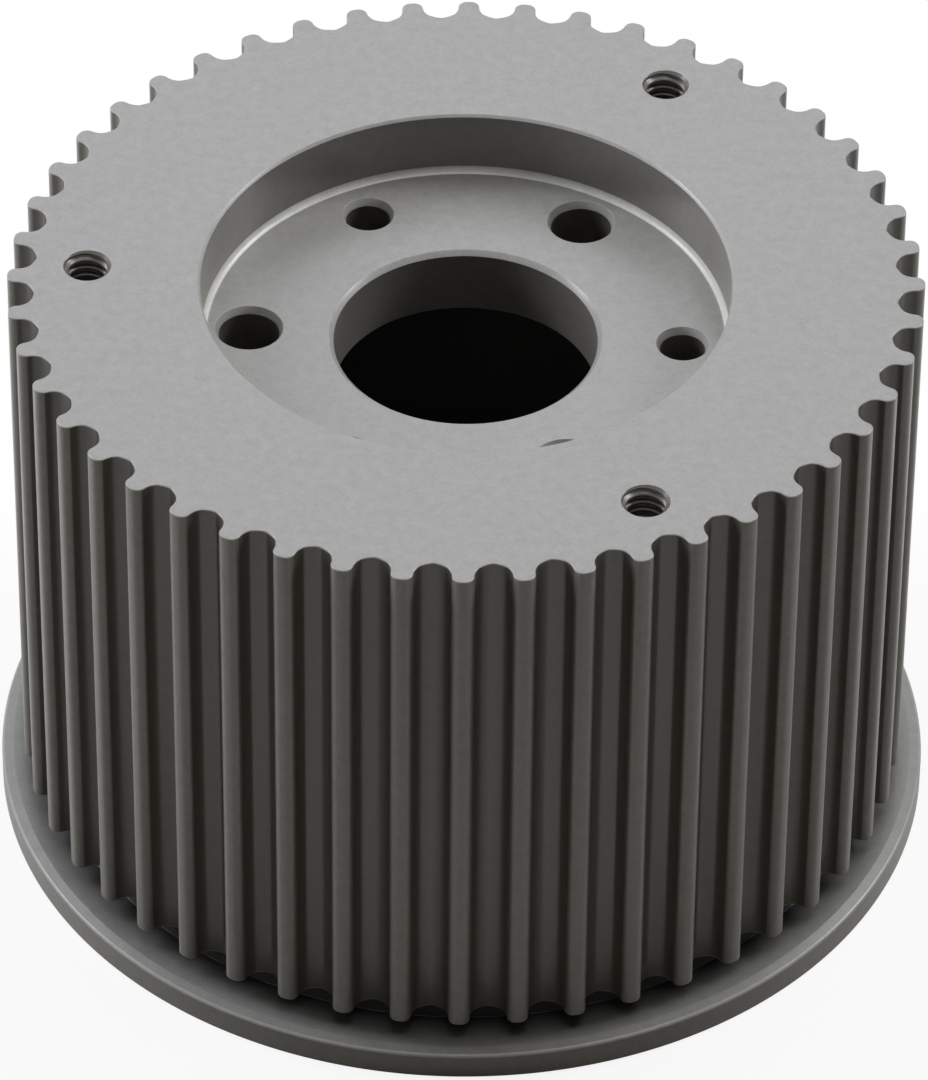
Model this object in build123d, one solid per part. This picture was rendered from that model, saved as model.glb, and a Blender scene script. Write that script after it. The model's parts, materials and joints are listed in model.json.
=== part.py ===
from build123d import *
from math import asin, atan2, cos, degrees, pi, radians, sin, sqrt, tan
import os

# A toothed belt pulley, machined in one piece from aluminium bar and hard anodised.
# It stands on its fixed flange: z = 0 is the underside of the flange, the shaft axis is Z,
# and the front face, with the recess and the tapped holes, looks up.
# All sizes are in millimetres and degrees.

# Belt teeth: 8 mm pitch with round grooves
TOOTH_COUNT = 48
BELT_PITCH = 8.0
PITCH_LINE_ABOVE_TIPS = 0.686
TOOTH_LENGTH = 78.0
GROOVE_DEPTH = 3.6
GROOVE_RADIUS = 2.45
GROOVE_FLAT_WIDTH = 1.85
TIP_RADIUS = 0.8
FIRST_TOOTH_ANGLE = 0.0

# Fixed flange and the relief groove where the tooth cutter runs out
FLANGE_RADIUS = 63.5
FLANGE_THICKNESS = 4.35
FLANGE_BEVEL_WIDTH = 1.6
FLANGE_BEVEL_DROP = 0.3
FLANGE_FOOT_BREAK = 0.3
RELIEF_WIDTH = 2.5
RELIEF_BELOW_ROOTS = 0.5

# Recess in the front face
RECESS_RADIUS = 35.0
RECESS_DEPTH = 9.6
RECESS_MOUTH_BREAK = 0.5
RECESS_CORNER = 0.8

# Web with the hub bore, and the hollow behind it
WEB_THICKNESS = 10.0
BORE_RADIUS = 17.5
BORE_FRONT_BREAK = 0.65
BORE_BACK_BREAK = 0.5
HOLLOW_RADIUS = 46.0
HOLLOW_CORNER = 1.5
HOLLOW_MOUTH_BREAK = 1.0

# Holes through the web, large and small by turns on one circle
WEB_HOLE_CIRCLE_RADIUS = 28.75
WEB_HOLES_EACH = 3
LARGE_HOLE_RADIUS = 4.05
SMALL_HOLE_RADIUS = 3.0
WEB_HOLE_BREAK_WIDTH = 0.5
WEB_HOLE_BREAK_DEPTH = 1.0
HOLE_ANGLE = 57.6

# Tapped holes in the front face, in line with the large holes; the bore is the tapping drill's
TAPPED_CIRCLE_RADIUS = 50.0
TAPPED_HOLES = 3
TAPPING_DRILL_RADIUS = 2.5
TAPPED_MOUTH_RADIUS = 3.2
TAPPED_DEPTH = 15.0
DRILL_POINT_ANGLE = 118.0

# Sizes that follow from the ones above
TIP_CIRCLE_RADIUS = TOOTH_COUNT * BELT_PITCH / (2 * pi) - PITCH_LINE_ABOVE_TIPS
ROOT_CIRCLE_RADIUS = TIP_CIRCLE_RADIUS - GROOVE_DEPTH
NECK_RADIUS = ROOT_CIRCLE_RADIUS - RELIEF_BELOW_ROOTS
TOOTH_BOTTOM_Z = FLANGE_THICKNESS + RELIEF_WIDTH
FRONT_Z = TOOTH_BOTTOM_Z + TOOTH_LENGTH
RECESS_FLOOR_Z = FRONT_Z - RECESS_DEPTH
WEB_BACK_Z = RECESS_FLOOR_Z - WEB_THICKNESS
PITCH_ANGLE = 360 / TOOTH_COUNT
OVERRUN = 1.0


def polar(radius, angle):
    """A point in the XY plane, from its radius and its angle in degrees."""
    return (radius * cos(radians(angle)), radius * sin(radians(angle)))


def groove_side():
    """Half of a groove whose middle lies along X, from the tooth tip to the bottom of the groove.

    It returns the points where the tip rounding, the round flank and the flat of the floor meet.
    """
    centre_x = TIP_CIRCLE_RADIUS - GROOVE_DEPTH + GROOVE_RADIUS
    tip_orbit = TIP_CIRCLE_RADIUS - TIP_RADIUS
    reach = GROOVE_RADIUS + TIP_RADIUS
    tip_x = (tip_orbit**2 - reach**2 + centre_x**2) / (2 * centre_x)
    tip_y = sqrt(tip_orbit**2 - tip_x**2)
    tip_angle = atan2(tip_y, tip_x)
    flank_angle = atan2(tip_y, tip_x - centre_x)
    half_flat = GROOVE_FLAT_WIDTH * sqrt(1 - (GROOVE_FLAT_WIDTH / (2 * GROOVE_RADIUS)) ** 2)
    flat_angle = pi - asin(half_flat / GROOVE_RADIUS)

    def on_flank(angle):
        return (centre_x + GROOVE_RADIUS * cos(angle), GROOVE_RADIUS * sin(angle))

    def on_tip(angle):
        return (tip_x + TIP_RADIUS * cos(angle), tip_y + TIP_RADIUS * sin(angle))

    flank_start = flank_angle - pi
    return {
        "land": on_tip(tip_angle),
        "tip_middle": on_tip((tip_angle + flank_start) / 2),
        "flank_top": on_flank(flank_angle),
        "flank_middle": on_flank((flank_angle + flat_angle) / 2),
        "flat_outer": on_flank(flat_angle),
        "bottom": (ROOT_CIRCLE_RADIUS, 0.0),
    }


def tooth_outline():
    """The closed outline of the toothed rim, one groove and one tooth tip at a time."""
    side = groove_side()

    def placed(name, groove_angle, half=1):
        """A named point of the groove at an angle, on its right half (1) or its left half (-1)."""
        x, y = side[name]
        return polar(sqrt(x**2 + y**2), degrees(atan2(half * y, x)) + groove_angle)

    edges = []
    for tooth in range(TOOTH_COUNT):
        angle = FIRST_TOOTH_ANGLE + (tooth + 0.5) * PITCH_ANGLE
        for half in (-1, 1):
            flank_top = placed("flank_top", angle, half)
            flat_outer = placed("flat_outer", angle, half)
            edges += [
                ThreePointArc(placed("land", angle, half), placed("tip_middle", angle, half), flank_top),
                ThreePointArc(flank_top, placed("flank_middle", angle, half), flat_outer),
                Line(flat_outer, placed("bottom", angle)),
            ]
        land_middle = polar(TIP_CIRCLE_RADIUS, angle + PITCH_ANGLE / 2)
        edges.append(
            ThreePointArc(placed("land", angle), land_middle, placed("land", angle + PITCH_ANGLE, -1))
        )
    return Wire(edges)


def revolved(points):
    """A solid of revolution about Z from (radius, height) points."""
    outline = make_face(Polyline([(r, 0, z) for r, z in points], close=True))
    return revolve(outline, Axis.Z)


def toothed_rim():
    """The belt teeth over their whole length, solid inside."""
    return Pos(0, 0, TOOTH_BOTTOM_Z) * extrude(make_face(tooth_outline()), TOOTH_LENGTH)


def flange_and_neck():
    """The fixed flange with its bevelled rim, and the neck of the relief groove above it."""
    return revolved(
        [
            (0, 0),
            (FLANGE_RADIUS - FLANGE_FOOT_BREAK, 0),
            (FLANGE_RADIUS, FLANGE_FOOT_BREAK),
            (FLANGE_RADIUS, FLANGE_THICKNESS - FLANGE_BEVEL_DROP),
            (FLANGE_RADIUS - FLANGE_BEVEL_WIDTH, FLANGE_THICKNESS),
            (NECK_RADIUS, FLANGE_THICKNESS),
            (NECK_RADIUS, TOOTH_BOTTOM_Z),
            (0, TOOTH_BOTTOM_Z),
        ]
    )


def turned_inside():
    """The space turned out of the middle: recess, bore and hollow, with their breaks and corners."""
    return revolved(
        [
            (0, -OVERRUN),
            (HOLLOW_RADIUS + HOLLOW_MOUTH_BREAK + OVERRUN, -OVERRUN),
            (HOLLOW_RADIUS, HOLLOW_MOUTH_BREAK),
            (HOLLOW_RADIUS, WEB_BACK_Z - HOLLOW_CORNER),
            (HOLLOW_RADIUS - HOLLOW_CORNER, WEB_BACK_Z),
            (BORE_RADIUS + BORE_BACK_BREAK, WEB_BACK_Z),
            (BORE_RADIUS, WEB_BACK_Z + BORE_BACK_BREAK),
            (BORE_RADIUS, RECESS_FLOOR_Z - BORE_FRONT_BREAK),
            (BORE_RADIUS + BORE_FRONT_BREAK, RECESS_FLOOR_Z),
            (RECESS_RADIUS - RECESS_CORNER, RECESS_FLOOR_Z),
            (RECESS_RADIUS, RECESS_FLOOR_Z + RECESS_CORNER),
            (RECESS_RADIUS, FRONT_Z - RECESS_MOUTH_BREAK),
            (RECESS_RADIUS + RECESS_MOUTH_BREAK + OVERRUN, FRONT_Z + OVERRUN),
            (0, FRONT_Z + OVERRUN),
        ]
    )


def web_hole(radius):
    """The space of one hole through the web, broken steeply where it opens into the recess."""
    mouth = radius + WEB_HOLE_BREAK_WIDTH
    return revolved(
        [
            (0, WEB_BACK_Z - OVERRUN),
            (radius, WEB_BACK_Z - OVERRUN),
            (radius, RECESS_FLOOR_Z - WEB_HOLE_BREAK_DEPTH),
            (mouth, RECESS_FLOOR_Z),
            (mouth, RECESS_FLOOR_Z + OVERRUN),
            (0, RECESS_FLOOR_Z + OVERRUN),
        ]
    )


def tapped_hole():
    """The space of one blind tapped hole, with its drill point and its countersunk mouth."""
    mouth_depth = TAPPED_MOUTH_RADIUS - TAPPING_DRILL_RADIUS
    point_length = TAPPING_DRILL_RADIUS / tan(radians(DRILL_POINT_ANGLE / 2))
    return revolved(
        [
            (0, FRONT_Z - TAPPED_DEPTH - point_length),
            (TAPPING_DRILL_RADIUS, FRONT_Z - TAPPED_DEPTH),
            (TAPPING_DRILL_RADIUS, FRONT_Z - mouth_depth),
            (TAPPED_MOUTH_RADIUS + OVERRUN, FRONT_Z + OVERRUN),
            (0, FRONT_Z + OVERRUN),
        ]
    )


def pulley():
    """The whole pulley."""
    body = toothed_rim() + flange_and_neck() - turned_inside()
    hole_step = 360 / WEB_HOLES_EACH
    large_places = PolarLocations(WEB_HOLE_CIRCLE_RADIUS, WEB_HOLES_EACH, HOLE_ANGLE)
    small_places = PolarLocations(WEB_HOLE_CIRCLE_RADIUS, WEB_HOLES_EACH, HOLE_ANGLE + hole_step / 2)
    tapped_places = PolarLocations(TAPPED_CIRCLE_RADIUS, TAPPED_HOLES, HOLE_ANGLE)
    body -= [place * web_hole(LARGE_HOLE_RADIUS) for place in large_places]
    body -= [place * web_hole(SMALL_HOLE_RADIUS) for place in small_places]
    body -= [place * tapped_hole() for place in tapped_places]
    return body.solid()


os.makedirs("parts", exist_ok=True)
part = pulley()
part.label = "pulley"
export_step(part, "parts/pulley.step")
size = part.bounding_box().size
print(f"pulley: {size.X:.2f} x {size.Y:.2f} x {size.Z:.2f} mm, {part.volume / 1000:.1f} cm3")
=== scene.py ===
import json
from math import acos, asin, atan2, ceil, cos, pi, radians, sin, sqrt, tan

import bmesh
import bpy
from mathutils import Matrix, Vector
from mathutils.geometry import delaunay_2d_cdt


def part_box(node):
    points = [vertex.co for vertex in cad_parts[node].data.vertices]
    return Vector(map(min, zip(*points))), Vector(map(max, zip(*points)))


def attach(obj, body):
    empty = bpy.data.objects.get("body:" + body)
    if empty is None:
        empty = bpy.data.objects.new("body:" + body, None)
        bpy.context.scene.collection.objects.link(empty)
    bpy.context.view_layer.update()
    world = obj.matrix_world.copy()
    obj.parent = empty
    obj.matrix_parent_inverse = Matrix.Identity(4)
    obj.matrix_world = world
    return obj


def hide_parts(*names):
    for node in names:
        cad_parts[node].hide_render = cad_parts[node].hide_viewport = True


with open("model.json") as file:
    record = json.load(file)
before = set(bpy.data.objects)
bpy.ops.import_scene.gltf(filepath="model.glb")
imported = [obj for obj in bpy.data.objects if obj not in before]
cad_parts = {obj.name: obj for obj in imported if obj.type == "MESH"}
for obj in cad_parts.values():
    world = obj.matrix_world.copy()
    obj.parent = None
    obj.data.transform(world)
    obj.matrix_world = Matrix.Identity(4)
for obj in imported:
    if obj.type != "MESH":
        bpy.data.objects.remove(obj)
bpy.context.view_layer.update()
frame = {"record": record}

# The pulley is drawn again with its edges rounded and its threads cut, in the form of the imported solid.
# Sizes are in millimetres where nothing else is said, and MM turns them into metres. Angles are in degrees.
MM = 0.001
mounts = {mount["name"]: mount for mount in frame["record"]["mounts"]}
node_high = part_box("pulley")[1]

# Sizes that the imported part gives. The solid's box is a little narrower one way than the other,
# and the flange stays inside it both ways.
FLANGE_RADIUS = min(node_high.xy) / MM
FRONT_Z = node_high.z / MM
BORE_RADIUS = mounts["hub_bore"]["dims"]["r_mm"]
RECESS_RADIUS = mounts["front_recess"]["dims"]["r_mm"]
HOLLOW_RADIUS = mounts["rear_hollow"]["dims"]["r_mm"]
LARGE_HOLE_RADIUS = mounts["large_web_holes"]["dims"]["hole_r_mm"]
SMALL_HOLE_RADIUS = mounts["small_web_holes"]["dims"]["hole_r_mm"]
WEB_HOLE_CIRCLE_RADIUS = mounts["large_web_holes"]["dims"]["pcd_mm"] / 2
TAPPED_CIRCLE_RADIUS = mounts["tapped_holes"]["dims"]["pcd_mm"] / 2
TAPPING_DRILL_RADIUS = mounts["tapped_holes"]["dims"]["hole_r_mm"]

# Belt teeth. The softness is how far the two flats of a groove's floor bend towards its round flank.
TOOTH_COUNT = 48
BELT_PITCH = 8.0
PITCH_LINE_ABOVE_TIPS = 0.686
TOOTH_LENGTH = 78.0
GROOVE_DEPTH = 3.6
GROOVE_RADIUS = 2.45
GROOVE_FLAT_WIDTH = 1.85
GROOVE_SOFTNESS = 0.5
TIP_RADIUS = 1.2
TOOTH_END_ROUNDING = 0.18

# Flange and relief groove
FLANGE_THICKNESS = 4.35
FLANGE_BEVEL_WIDTH = 1.6
FLANGE_BEVEL_DROP = 0.3
FLANGE_EDGE_ROUNDING = 0.45
FLANGE_FOOT_BREAK = 0.3
RELIEF_BELOW_ROOTS = 0.5

# Recess, web, bore and hollow
RECESS_DEPTH = 9.6
RECESS_MOUTH_BREAK = 0.35
RECESS_CORNER_ROUNDING = 0.95
WEB_THICKNESS = 10.0
BORE_FRONT_BREAK = 0.65
BORE_BACK_BREAK = 0.5
HOLLOW_CORNER_ROUNDING = 2.0
HOLLOW_MOUTH_BREAK = 1.0

# Holes through the web, large and small by turns. The first large one is at the hole angle.
HOLE_ANGLE = 57.6
HOLES_EACH = 3
WEB_HOLE_BREAK_WIDTH = 0.5
WEB_HOLE_BREAK_DEPTH = 1.0
WEB_HOLE_BACK_BREAK = 0.16

# Tapped holes with a 1/4 inch thread, 20 to the inch, in line with the large holes
TAPPED_MOUTH_RADIUS = 3.2
TAPPED_DEPTH = 15.0
THREAD_PITCH = 1.27
THREAD_RADIUS = 3.175
THREAD_LENGTH = 12.7
THREAD_CREST_FLAT = 0.25
THREAD_ROOT_FLAT = 0.125
DRILL_POINT_ANGLE = 118.0

# The blasted finish leaves no sharp corner: this is the rounding of all the other edges
EDGE_ROUNDING = 0.08

# Sizes that follow
TIP_CIRCLE_RADIUS = TOOTH_COUNT * BELT_PITCH / (2 * pi) - PITCH_LINE_ABOVE_TIPS
ROOT_CIRCLE_RADIUS = TIP_CIRCLE_RADIUS - GROOVE_DEPTH
NECK_RADIUS = ROOT_CIRCLE_RADIUS - RELIEF_BELOW_ROOTS
TOOTH_BOTTOM_Z = FRONT_Z - TOOTH_LENGTH
RECESS_FLOOR_Z = FRONT_Z - RECESS_DEPTH
WEB_BACK_Z = RECESS_FLOOR_Z - WEB_THICKNESS
PITCH_ANGLE = 2 * pi / TOOTH_COUNT
ON_AXIS = Vector((0, 0))

# Fineness of the mesh. Points of a flat face that are nearer than SAME_PLACE count as one point, and
# LARGE_FACES_LEAD says how strongly the larger faces at a point set its shading.
ROUNDING_STEP = radians(18)
TIP_STEPS = 8
FLANK_STEPS = 6
FLAT_STEPS = 4
TOOTH_END_STEPS = 4
TURNED_SEGMENTS = 288
WEB_HOLE_SEGMENTS = 96
THREAD_SEGMENTS = 48
THREAD_ROWS = 12
SAME_PLACE = 1e-6
LARGE_FACES_LEAD = 100

# The zones of the hard anodised metal, each with its colour in linear light. Only the flat faces show the
# metal's own colour; the other zones hold painted light, as painted highlights or painted shade.
ZONE_COLOURS_WITH_PAINTED_LIGHT = {
    # flat faces that look up or down, in the metal's own colour
    "faces": (0.306, 0.306, 0.303),
    # upright walls and the tips of the teeth, with painted shade: darker and warmer than the flat faces
    "walls": (0.22, 0.21, 0.197),
    # breaks and roundings, with a painted highlight: lighter than the flat faces
    "edges": (0.36, 0.36, 0.355),
    # the round corner of the recess floor, with a strong painted highlight
    "corner": (0.68, 0.68, 0.66),
    # grooves between the teeth, threads, and the holes through the web, with painted shade
    "grooves": (0.115, 0.104, 0.09),
    # top of the flange, with painted shade that grows darker towards the neck
    "foot": (0.28, 0.28, 0.276),
    # relief groove, and the hollow behind the web, with painted shade that makes them nearly black
    "inside": (0.06, 0.06, 0.059),
}
ZONES_WITH_PAINTED_LIGHT = list(ZONE_COLOURS_WITH_PAINTED_LIGHT)

# How the zones, and with them their painted highlights and painted shade, are told apart. The slope of a
# face is 1 where it looks straight up or down and 0 where it is upright. On the rim, an upright face within
# the groove mouth radius is part of a groove.
MARGIN = 0.01
LEAST_SLOPE = 0.1
GREATEST_SLOPE = 0.97
GROOVE_MOUTH_RADIUS = 59.5

# Grain, mottling and gloss of the metal, and the flange top's painted shade. The darker values are shares of
# the full colour.
MOTTLE_DARKER = 0.84
# Painted shade: at the neck, the top of the flange keeps only this share of its colour
FOOT_PAINTED_SHADE_AT_NECK = 0.05
METAL_ROUGHNESS = 0.3
METAL_GLOSS = 0.6
INSIDE_GLOSS = 0.15
GRAIN_PER_METRE = 2600
GRAIN_DETAIL = 2.0
MOTTLE_PER_METRE = 600
MOTTLE_DETAIL = 3.0
DARKEST_NOISE = 0.7
LIGHTEST_NOISE = 1.3

# Floor. The bounce is the colour of the light that it throws back on the pulley, and the shadow values
# are how much of its lit surface, with the pulley's shadow, shows through the plain white.
FLOOR_SIZE_METRES = 6.0
FLOOR_BOUNCE = (0.26, 0.22, 0.18)
FLOOR_WHITE = (0.85, 0.85, 0.85)
SHADOW_SEEN = 0.12
SHADOW_REFLECTED = 1.0

# Each lamp's name, azimuth from +X towards +Y, elevation, size in metres, level and colour.
# A white surface that faces a lamp of level 1 shows as white. A lamp lower than the elevation for
# highlights only fills in, because in views from the side it would glare on the front face.
LAMP_AIM = Vector((0, 0, FRONT_Z * MM / 2))
LAMP_DISTANCE_METRES = 1.2
HIGHLIGHTS_FROM_ELEVATION = 30
NEUTRAL = (1.0, 1.0, 1.0)
WARM = (1.0, 0.97, 0.9)
COOL = (0.97, 1.0, 1.03)
BLUE = (0.88, 1.0, 1.1)
LAMPS = [
    ("overhead", 30, 84, 0.7, 0.355, WARM),
    ("right", 22, 38, 0.4, 0.39, NEUTRAL),
    ("left", 160, 38, 0.4, 0.375, COOL),
    ("low_left", 165, 22, 0.3, 0.18, NEUTRAL),
    ("far_left", 150, 8, 0.3, 0.17, NEUTRAL),
    ("side_left", 185, 10, 0.3, 0.15, NEUTRAL),
    ("side_right", 355, 10, 0.3, 0.06, NEUTRAL),
    ("high_right", 45, 58, 0.5, 0.14, NEUTRAL),
    ("high_left", 135, 58, 0.5, 0.09, NEUTRAL),
    ("back", 90, 45, 0.5, 0.04, BLUE),
]

# Camera. It looks down by its elevation, towards +Y.
CAMERA_ELEVATION = 41.04
CAMERA_ROLL = 0.57
CAMERA_PLACE = Vector((0.05, -807.3, 742.12))
FOCAL_LENGTH = 263.56
FILM_LONG_SIDE = 36.0
NEAREST_SEEN_METRES = 0.05


def steps(first, last, count):
    """Evenly spaced values from first to last, in count steps."""
    return [first + (last - first) * step / count for step in range(count + 1)]


def on_arc(centre_x, centre_y, radius, angle):
    """The point of a circle at an angle in radians."""
    return Vector((centre_x + radius * cos(angle), centre_y + radius * sin(angle)))


def tooth_outline(inset):
    """Points round the toothed rim, drawn into the metal by the inset."""
    # One groove on +X: the circle of its flank, and the circle of the tooth tip that touches it
    groove_x = ROOT_CIRCLE_RADIUS + GROOVE_RADIUS
    tip_orbit = TIP_CIRCLE_RADIUS - TIP_RADIUS
    tip_x = (tip_orbit**2 - (GROOVE_RADIUS + TIP_RADIUS) ** 2 + groove_x**2) / (2 * groove_x)
    tip_y = sqrt(tip_orbit**2 - tip_x**2)
    flank_angle = atan2(tip_y, tip_x - groove_x)
    half_flat = GROOVE_FLAT_WIDTH * sqrt(1 - (GROOVE_FLAT_WIDTH / (2 * GROOVE_RADIUS)) ** 2)
    flat_angle = pi - asin(half_flat / GROOVE_RADIUS)

    # One side of the groove, from the land down to the middle of the floor
    tip_angles = steps(atan2(tip_y, tip_x), flank_angle - pi, TIP_STEPS)
    flank_angles = steps(flank_angle, flat_angle, FLANK_STEPS)[1:]
    side = [on_arc(tip_x, tip_y, TIP_RADIUS - inset, angle) for angle in tip_angles]
    side += [on_arc(groove_x, 0, GROOVE_RADIUS + inset, angle) for angle in flank_angles]
    bottom = Vector((ROOT_CIRCLE_RADIUS - inset, 0))
    flat_start = side[-1]
    shares = steps(0, 1, FLAT_STEPS)[1:-1]
    floor_angles = steps(flat_angle, pi, FLAT_STEPS)[1:-1]
    for share, angle in zip(shares, floor_angles):
        on_flat = flat_start.lerp(bottom, share)
        side.append(on_flat.lerp(on_arc(groove_x, 0, GROOVE_RADIUS + inset, angle), GROOVE_SOFTNESS))

    groove = [Vector((point.x, -point.y)) for point in side]
    groove.append(bottom)
    groove += reversed(side)
    land = on_arc(0, 0, TIP_CIRCLE_RADIUS - inset, PITCH_ANGLE / 2)

    # The middle of a tooth is on +X, so the grooves lie half a pitch on
    points = []
    for tooth in range(TOOTH_COUNT):
        turn = Matrix.Rotation((tooth + 0.5) * PITCH_ANGLE, 2)
        points += [turn @ point for point in groove + [land]]
    return points


def rounded(corners):
    """The points of a section with rounded corners, from (radius, height, rounding) corners.

    The first and the last corner only give the directions in which the section starts and ends.
    """
    points = []
    for before, corner, after in zip(corners, corners[1:], corners[2:]):
        here = Vector(corner[:2])
        rounding = corner[2]
        back = (Vector(before[:2]) - here).normalized()
        ahead = (Vector(after[:2]) - here).normalized()
        turn = pi - acos(back.dot(ahead))
        centre = here + (back + ahead).normalized() * rounding / cos(turn / 2)
        first = (here + back * rounding * tan(turn / 2) - centre).normalized()
        last = (here + ahead * rounding * tan(turn / 2) - centre).normalized()
        count = ceil(turn / ROUNDING_STEP)
        points += [centre + first.slerp(last, share) * rounding for share in steps(0, 1, count)]
    return points


def zone_at(middle, slope):
    """The zone of a face, from its middle and its slope, which sets its painted highlight or painted shade.
    """
    from_axis = middle.xy.length
    in_relief = FLANGE_THICKNESS + MARGIN < middle.z < TOOTH_BOTTOM_Z + MARGIN
    in_hollow = from_axis < HOLLOW_RADIUS + MARGIN and middle.z < WEB_BACK_Z + MARGIN
    # Painted shade, nearly black, in the relief groove and the hollow behind the web
    if in_hollow or (in_relief and from_axis < TIP_CIRCLE_RADIUS):
        return "inside"
    # Flat faces keep the metal's own colour, but the top of the flange gets painted shade
    if slope > GREATEST_SLOPE:
        return "foot" if abs(middle.z - FLANGE_THICKNESS) < MARGIN else "faces"
    # Sloped breaks and roundings get a painted highlight, strongest on the round corner of the recess floor
    if slope > LEAST_SLOPE:
        return "corner" if 0 < middle.z - RECESS_FLOOR_Z < RECESS_CORNER_ROUNDING else "edges"
    # Upright faces get painted shade, darker still in the grooves and the holes through the web
    in_web_hole = BORE_RADIUS + MARGIN < from_axis < RECESS_RADIUS - MARGIN
    in_groove = ROOT_CIRCLE_RADIUS - MARGIN < from_axis < GROOVE_MOUTH_RADIUS
    return "grooves" if in_web_hole or in_groove else "walls"


class Skin:
    """A closed surface, made ring by ring."""

    def __init__(self):
        self.mesh = bmesh.new()

    def ring(self, points, height):
        """One ring of points at a height."""
        return [self.mesh.verts.new((point.x * MM, point.y * MM, height * MM)) for point in points]

    def join(self, upper, lower, zone="faces"):
        """The band of faces between two rings with as many points.

        Faces that are left with the first zone get their real one, with its painted light, when the piece is
        finished.
        """
        for here in range(len(upper)):
            after = (here + 1) % len(upper)
            face = self.mesh.faces.new((upper[here], upper[after], lower[after], lower[here]))
            face.material_index = ZONES_WITH_PAINTED_LIGHT.index(zone)

    def turned(self, section, segments, centre=ON_AXIS):
        """A turned surface. It returns its first and its last ring."""
        angles = steps(0, 2 * pi, segments)[:-1]
        rings = []
        for radius, height in section:
            rings.append(self.ring([centre + on_arc(0, 0, radius, angle) for angle in angles], height))
        for upper, lower in zip(rings, rings[1:]):
            self.join(upper, lower)
        return rings[0], rings[-1]

    def fill(self, *rings):
        """The flat face inside the first ring and outside the others, which are circles."""
        corners = [corner for ring in rings for corner in ring]
        owners = [number for number, ring in enumerate(rings) for corner in ring]
        edges = []
        for ring in rings:
            offset = len(edges)
            edges += [(offset + here, offset + (here + 1) % len(ring)) for here in range(len(ring))]
        flat = [corner.co.xy / MM for corner in corners]
        only_inside = 1
        _, _, faces, origins, _, _ = delaunay_2d_cdt(flat, edges, [], only_inside, SAME_PLACE)
        for face in faces:
            sources = [origins[index][0] for index in face]
            face_owners = {owners[source] for source in sources}
            in_a_hole = len(face_owners) == 1 and 0 not in face_owners
            if not in_a_hole:
                self.mesh.faces.new([corners[source] for source in sources])

    def point(self, ring, centre, height):
        """The cone from a ring to one point."""
        tip = self.mesh.verts.new((centre.x * MM, centre.y * MM, height * MM))
        for here in range(len(ring)):
            self.mesh.faces.new((ring[here], ring[(here + 1) % len(ring)], tip))

    def piece(self, name):
        """The finished object, shaded smooth, with flat faces kept flat."""
        bmesh.ops.recalc_face_normals(self.mesh, faces=self.mesh.faces)
        # Each face gets its zone, and with it its painted highlight or painted shade
        for face in self.mesh.faces:
            if face.material_index == ZONES_WITH_PAINTED_LIGHT.index("faces"):
                middle = face.calc_center_median() / MM
                face.material_index = ZONES_WITH_PAINTED_LIGHT.index(zone_at(middle, abs(face.normal.z)))
        data = bpy.data.meshes.new(name)
        self.mesh.to_mesh(data)
        self.mesh.free()
        data.shade_smooth()
        piece = bpy.data.objects.new(name, data)
        bpy.context.scene.collection.objects.link(piece)
        normals = piece.modifiers.new("flat faces stay flat", "WEIGHTED_NORMAL")
        normals.mode = "FACE_AREA"
        normals.weight = LARGE_FACES_LEAD
        return piece


def toothed_wall(skin):
    """The belt teeth, rounded at both ends. It returns the rings of the front face and of the tooth ends."""
    # Each level's height, and how far out its rounding has come, from 0 to 1
    quarter = steps(0, pi / 2, TOOTH_END_STEPS)
    levels = [(FRONT_Z - TOOTH_END_ROUNDING * (1 - cos(turn)), sin(turn)) for turn in quarter]
    levels += [(TOOTH_BOTTOM_Z + TOOTH_END_ROUNDING * (1 - sin(turn)), cos(turn)) for turn in quarter]
    rings = []
    for height, out in levels:
        rings.append(skin.ring(tooth_outline(TOOTH_END_ROUNDING * (1 - out)), height))
    for upper, lower in zip(rings, rings[1:]):
        skin.join(upper, lower)
    return rings[0], rings[-1]


def recess_wall(skin):
    """The mouth and the wall of the recess in the front face, and the round corner of its floor."""
    section = rounded([
        (FLANGE_RADIUS, FRONT_Z, 0),
        (RECESS_RADIUS + RECESS_MOUTH_BREAK, FRONT_Z, EDGE_ROUNDING),
        (RECESS_RADIUS, FRONT_Z - RECESS_MOUTH_BREAK, EDGE_ROUNDING),
        (RECESS_RADIUS, RECESS_FLOOR_Z, RECESS_CORNER_ROUNDING),
        (0, RECESS_FLOOR_Z, 0),
    ])
    return skin.turned(section, TURNED_SEGMENTS)


def web_opening(skin, radius, break_width, break_depth, back_break, segments, centre=ON_AXIS):
    """The wall of the bore or of a hole through the web, broken at both ends."""
    section = rounded([
        (RECESS_RADIUS, RECESS_FLOOR_Z, 0),
        (radius + break_width, RECESS_FLOOR_Z, EDGE_ROUNDING),
        (radius, RECESS_FLOOR_Z - break_depth, EDGE_ROUNDING),
        (radius, WEB_BACK_Z + back_break, EDGE_ROUNDING),
        (radius + back_break, WEB_BACK_Z, EDGE_ROUNDING),
        (HOLLOW_RADIUS, WEB_BACK_Z, 0),
    ])
    return skin.turned(section, segments, centre)


def hollow_wall(skin):
    """The wall of the hollow behind the web, down to the underside of the flange."""
    section = rounded([
        (0, WEB_BACK_Z, 0),
        (HOLLOW_RADIUS, WEB_BACK_Z, HOLLOW_CORNER_ROUNDING),
        (HOLLOW_RADIUS, HOLLOW_MOUTH_BREAK, EDGE_ROUNDING),
        (HOLLOW_RADIUS + HOLLOW_MOUTH_BREAK, 0, EDGE_ROUNDING),
        (FLANGE_RADIUS, 0, 0),
    ])
    return skin.turned(section, TURNED_SEGMENTS)


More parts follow.
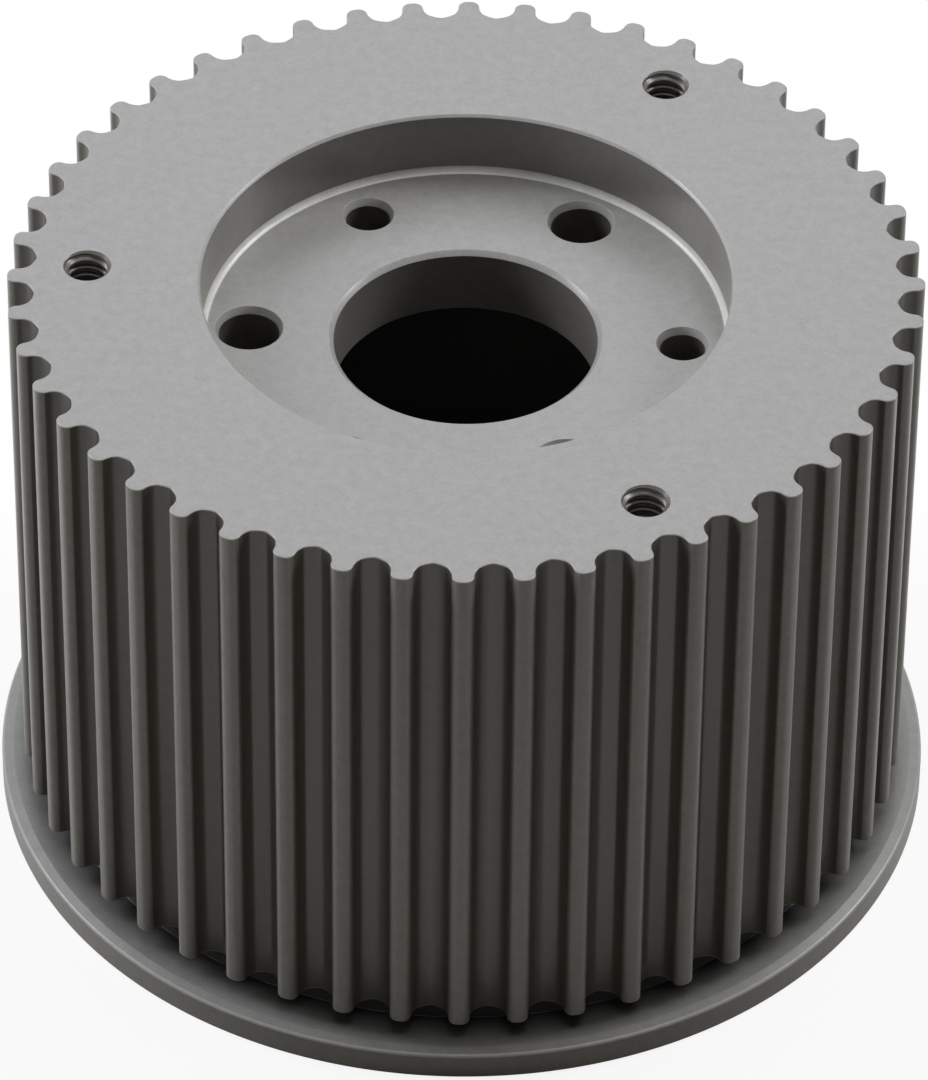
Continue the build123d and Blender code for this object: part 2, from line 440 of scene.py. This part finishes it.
def flange_and_neck(skin):
    """The rim and the bevelled top of the flange, and the neck up to the ends of the teeth."""
    section = rounded([
        (0, 0, 0),
        (FLANGE_RADIUS - FLANGE_FOOT_BREAK, 0, EDGE_ROUNDING),
        (FLANGE_RADIUS, FLANGE_FOOT_BREAK, EDGE_ROUNDING),
        (FLANGE_RADIUS, FLANGE_THICKNESS - FLANGE_BEVEL_DROP, FLANGE_EDGE_ROUNDING),
        (FLANGE_RADIUS - FLANGE_BEVEL_WIDTH, FLANGE_THICKNESS, FLANGE_EDGE_ROUNDING),
        (NECK_RADIUS, FLANGE_THICKNESS, EDGE_ROUNDING),
        (NECK_RADIUS, TOOTH_BOTTOM_Z, EDGE_ROUNDING),
        (FLANGE_RADIUS, TOOTH_BOTTOM_Z, 0),
    ])
    return skin.turned(section, TURNED_SEGMENTS)


def thread_radius(height, angle):
    """The radius of a right-hand internal thread at a height and an angle round its axis."""
    turn = (height / THREAD_PITCH - angle / (2 * pi)) % 1
    rise = (abs(2 * turn - 1) - THREAD_CREST_FLAT) / (1 - THREAD_CREST_FLAT - THREAD_ROOT_FLAT)
    return TAPPING_DRILL_RADIUS + (THREAD_RADIUS - TAPPING_DRILL_RADIUS) * min(max(rise, 0), 1)


def tapped_hole(skin, centre):
    """A countersunk blind hole with its thread and its drill point. It returns its mouth."""
    countersink_tip = FRONT_Z - TAPPED_MOUTH_RADIUS
    mouth = rounded([
        (FLANGE_RADIUS, FRONT_Z, 0),
        (TAPPED_MOUTH_RADIUS, FRONT_Z, EDGE_ROUNDING),
        (0, countersink_tip, 0),
    ])
    angles = steps(0, 2 * pi, THREAD_SEGMENTS)[:-1]
    first, ring = skin.turned(mouth, THREAD_SEGMENTS, centre)
    rows = round(THREAD_LENGTH / THREAD_PITCH * THREAD_ROWS)
    for height in steps(mouth[-1].y, FRONT_Z - THREAD_LENGTH, rows)[1:]:
        points = []
        for angle in angles:
            radius = max(height - countersink_tip, thread_radius(height, angle))
            points.append(centre + on_arc(0, 0, radius, angle))
        lower = skin.ring(points, height)
        skin.join(ring, lower, "grooves")
        ring = lower
    bottom = [
        (TAPPING_DRILL_RADIUS, FRONT_Z - THREAD_LENGTH - THREAD_PITCH / 2),
        (TAPPING_DRILL_RADIUS, FRONT_Z - TAPPED_DEPTH),
    ]
    drilled, last = skin.turned(bottom, THREAD_SEGMENTS, centre)
    skin.join(ring, drilled, "grooves")
    point_length = TAPPING_DRILL_RADIUS / tan(radians(DRILL_POINT_ANGLE / 2))
    skin.point(last, centre, FRONT_Z - TAPPED_DEPTH - point_length)
    return first


def pulley():
    """The whole pulley as one closed mesh."""
    skin = Skin()
    front_edge, tooth_ends = toothed_wall(skin)
    recess_mouth, recess_floor = recess_wall(skin)
    bore_front, bore_back = web_opening(
        skin, BORE_RADIUS, BORE_FRONT_BREAK, BORE_FRONT_BREAK, BORE_BACK_BREAK, TURNED_SEGMENTS
    )
    hollow_top, hollow_mouth = hollow_wall(skin)
    flange_foot, neck_top = flange_and_neck(skin)

    tapped_mouths = []
    hole_fronts = []
    hole_backs = []
    for index in range(2 * HOLES_EACH):
        angle = radians(HOLE_ANGLE + index * 180 / HOLES_EACH)
        large = index % 2 == 0
        front, back = web_opening(
            skin,
            LARGE_HOLE_RADIUS if large else SMALL_HOLE_RADIUS,
            WEB_HOLE_BREAK_WIDTH,
            WEB_HOLE_BREAK_DEPTH,
            WEB_HOLE_BACK_BREAK,
            WEB_HOLE_SEGMENTS,
            on_arc(0, 0, WEB_HOLE_CIRCLE_RADIUS, angle),
        )
        hole_fronts.append(front)
        hole_backs.append(back)
        if large:
            tapped_mouths.append(tapped_hole(skin, on_arc(0, 0, TAPPED_CIRCLE_RADIUS, angle)))

    skin.fill(front_edge, recess_mouth, *tapped_mouths)
    skin.fill(recess_floor, bore_front, *hole_fronts)
    skin.fill(hollow_top, bore_back, *hole_backs)
    skin.fill(flange_foot, hollow_mouth)
    skin.fill(tooth_ends, neck_top)
    return skin.piece("pulley_body")


class Nodes:
    """Short calls for building a node tree."""

    def __init__(self, tree):
        self.tree = tree
        tree.nodes.clear()

    def add(self, kind, **values):
        """A node with its settings or, for a socket name, its value or the socket that feeds it."""
        node = self.tree.nodes.new(kind)
        for name, value in values.items():
            key = name.replace("_", " ")
            socket = next((one for one in node.inputs if one.name.lower() == key.lower()), None)
            if hasattr(node, name):
                setattr(node, name, value)
            elif isinstance(value, bpy.types.NodeSocket):
                self.tree.links.new(value, socket)
            else:
                socket.default_value = value
        return node

    def link(self, output, node, index):
        """A link into the input with an index or a name."""
        self.tree.links.new(output, node.inputs[index])


def painted_shade_towards_neck(nodes, place, colour):
    """The colour with painted shade: darker on the flange the nearer it is to the neck of the relief groove.
    """
    flat = nodes.add("ShaderNodeVectorMath", operation="MULTIPLY")
    nodes.link(place, flat, 0)
    flat.inputs[1].default_value = (1, 1, 0)
    distance = nodes.add("ShaderNodeVectorMath", operation="LENGTH")
    nodes.link(flat.outputs[0], distance, 0)
    nearness = nodes.add("ShaderNodeMapRange")
    nodes.link(distance.outputs["Value"], nearness, 0)
    nearness.inputs["From Min"].default_value = NECK_RADIUS * MM
    nearness.inputs["From Max"].default_value = (FLANGE_RADIUS - FLANGE_BEVEL_WIDTH) * MM
    nearness.inputs["To Min"].default_value = FOOT_PAINTED_SHADE_AT_NECK
    darkened = nodes.add("ShaderNodeVectorMath", operation="SCALE")
    nodes.link(colour, darkened, 0)
    nodes.link(nearness.outputs[0], darkened, "Scale")
    return darkened.outputs[0]


def anodised_aluminium(zone):
    """Bead-blasted, hard anodised aluminium: its colour has a fine even grain and faint mottling. The zone's
    colour carries its painted highlight or painted shade, and on the flange top a painted shade that grows
    towards the neck.
    """
    material = bpy.data.materials.new("hard_anodised_" + zone)
    material.use_nodes = True
    nodes = Nodes(material.node_tree)
    place = nodes.add("ShaderNodeTexCoord").outputs["Object"]
    grain = nodes.add(
        "ShaderNodeTexNoise", Vector=place, Scale=GRAIN_PER_METRE, Detail=GRAIN_DETAIL
    )
    mottle = nodes.add(
        "ShaderNodeTexNoise", Vector=place, Scale=MOTTLE_PER_METRE, Detail=MOTTLE_DETAIL
    )
    both = nodes.add("ShaderNodeMath", operation="ADD")
    nodes.link(grain.outputs["Fac"], both, 0)
    nodes.link(mottle.outputs["Fac"], both, 1)
    tone = nodes.add("ShaderNodeMapRange")
    nodes.link(both.outputs[0], tone, 0)
    tone.inputs["From Min"].default_value = DARKEST_NOISE
    tone.inputs["From Max"].default_value = LIGHTEST_NOISE

    # A mix node has sockets for each kind of data: inputs 6 and 7 and output 2 are those for colours
    shade = nodes.add("ShaderNodeMix", data_type="RGBA")
    nodes.link(tone.outputs[0], shade, 0)
    colour = Vector(ZONE_COLOURS_WITH_PAINTED_LIGHT[zone])
    shade.inputs[6].default_value = (*(colour * MOTTLE_DARKER), 1)
    shade.inputs[7].default_value = (*colour, 1)
    tint = shade.outputs[2]
    # Painted shade on the top of the flange, darkest at the neck
    if zone == "foot":
        tint = painted_shade_towards_neck(nodes, place, tint)
    shader = nodes.add(
        "ShaderNodeBsdfPrincipled",
        Base_Color=tint,
        Roughness=METAL_ROUGHNESS,
        Specular_IOR_Level=INSIDE_GLOSS if zone == "inside" else METAL_GLOSS,
    )
    nodes.add("ShaderNodeOutputMaterial", Surface=shader.outputs[0])
    return material


def white_to_the_eye(nodes, path):
    """1 for camera, glossy and transmission rays, and 0 for the light that the object receives."""
    seen = path.outputs["Is Camera Ray"]
    for other in ("Is Glossy Ray", "Is Transmission Ray"):
        either = nodes.add("ShaderNodeMath", operation="MAXIMUM")
        nodes.link(seen, either, 0)
        nodes.link(path.outputs[other], either, 1)
        seen = either.outputs[0]
    return seen


def floor():
    """The plain floor that the pulley stands on. It shows white, and keeps the pulley's shadow.

    Inside the mouth of the hollow it gives off no white: a painted shadow, so the bore looks dark from
    above.
    """
    mesh = bmesh.new()
    bmesh.ops.create_grid(mesh, x_segments=1, y_segments=1, size=FLOOR_SIZE_METRES / 2)
    data = bpy.data.meshes.new("floor")
    mesh.to_mesh(data)
    mesh.free()
    piece = bpy.data.objects.new("floor", data)
    bpy.context.scene.collection.objects.link(piece)

    material = bpy.data.materials.new("plain_floor")
    material.use_nodes = True
    nodes = Nodes(material.node_tree)
    path = nodes.add("ShaderNodeLightPath")
    seen = white_to_the_eye(nodes, path)
    place = nodes.add("ShaderNodeTexCoord").outputs["Object"]
    distance = nodes.add("ShaderNodeVectorMath", operation="LENGTH")
    nodes.link(place, distance, 0)
    # Painted shadow: no white within the mouth of the hollow
    outside_painted_shadow = nodes.add("ShaderNodeMath", operation="GREATER_THAN")
    nodes.link(distance.outputs["Value"], outside_painted_shadow, 0)
    outside_painted_shadow.inputs[1].default_value = (HOLLOW_RADIUS + HOLLOW_MOUTH_BREAK) * MM
    shadow = nodes.add("ShaderNodeMapRange")
    nodes.link(path.outputs["Is Camera Ray"], shadow, 0)
    shadow.inputs["To Min"].default_value = SHADOW_REFLECTED
    shadow.inputs["To Max"].default_value = SHADOW_SEEN
    bounce = nodes.add("ShaderNodeBsdfDiffuse", Color=(*FLOOR_BOUNCE, 1))
    lit = nodes.add("ShaderNodeBsdfDiffuse", Color=(*FLOOR_WHITE, 1))
    white = nodes.add("ShaderNodeEmission", Color=(1, 1, 1, 1), Strength=outside_painted_shadow.outputs[0])
    shown = nodes.add("ShaderNodeMixShader", Fac=shadow.outputs[0])
    nodes.link(white.outputs[0], shown, 1)
    nodes.link(lit.outputs[0], shown, 2)
    either = nodes.add("ShaderNodeMixShader", Fac=seen)
    nodes.link(bounce.outputs[0], either, 1)
    nodes.link(shown.outputs[0], either, 2)
    nodes.add("ShaderNodeOutputMaterial", Surface=either.outputs[0])
    data.materials.append(material)


def surroundings():
    """A plain world, white to the eye, that gives the object no light of its own."""
    world = bpy.data.worlds.new("plain_world")
    bpy.context.scene.world = world
    world.use_nodes = True
    nodes = Nodes(world.node_tree)
    seen = white_to_the_eye(nodes, nodes.add("ShaderNodeLightPath"))
    white = nodes.add("ShaderNodeBackground", Color=(1, 1, 1, 1), Strength=seen)
    nodes.add("ShaderNodeOutputWorld", Surface=white.outputs[0])


def lamp(name, azimuth, elevation, size, level, colour):
    """A square soft lamp that looks at the pulley."""
    data = bpy.data.lights.new(name, "AREA")
    data.shape = "SQUARE"
    data.size = size
    data.energy = level * pi**2 * LAMP_DISTANCE_METRES**2
    data.color = colour
    piece = bpy.data.objects.new(name, data)
    around = radians(azimuth)
    up = radians(elevation)
    towards = Vector((cos(around) * cos(up), sin(around) * cos(up), sin(up)))
    piece.location = LAMP_AIM + towards * LAMP_DISTANCE_METRES
    piece.rotation_euler = towards.to_track_quat("Z", "Y").to_euler()
    piece.visible_glossy = elevation > HIGHLIGHTS_FROM_ELEVATION
    bpy.context.scene.collection.objects.link(piece)


def camera():
    """The camera, at the photograph's place and angle."""
    data = bpy.data.cameras.new("camera")
    data.lens = FOCAL_LENGTH
    data.sensor_width = FILM_LONG_SIDE
    data.clip_start = NEAREST_SEEN_METRES
    piece = bpy.data.objects.new("camera", data)
    tilt = Matrix.Rotation(radians(90 - CAMERA_ELEVATION), 4, "X")
    roll = Matrix.Rotation(radians(CAMERA_ROLL), 4, "Z")
    piece.matrix_world = Matrix.Translation(CAMERA_PLACE * MM) @ tilt @ roll
    bpy.context.scene.collection.objects.link(piece)
    bpy.context.scene.camera = piece


body = pulley()
for zone in ZONES_WITH_PAINTED_LIGHT:
    body.data.materials.append(anodised_aluminium(zone))
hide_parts("pulley")
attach(body, "root")

floor()
surroundings()
for settings in LAMPS:
    lamp(*settings)
camera()

bpy.context.scene.view_settings.view_transform = "Standard"
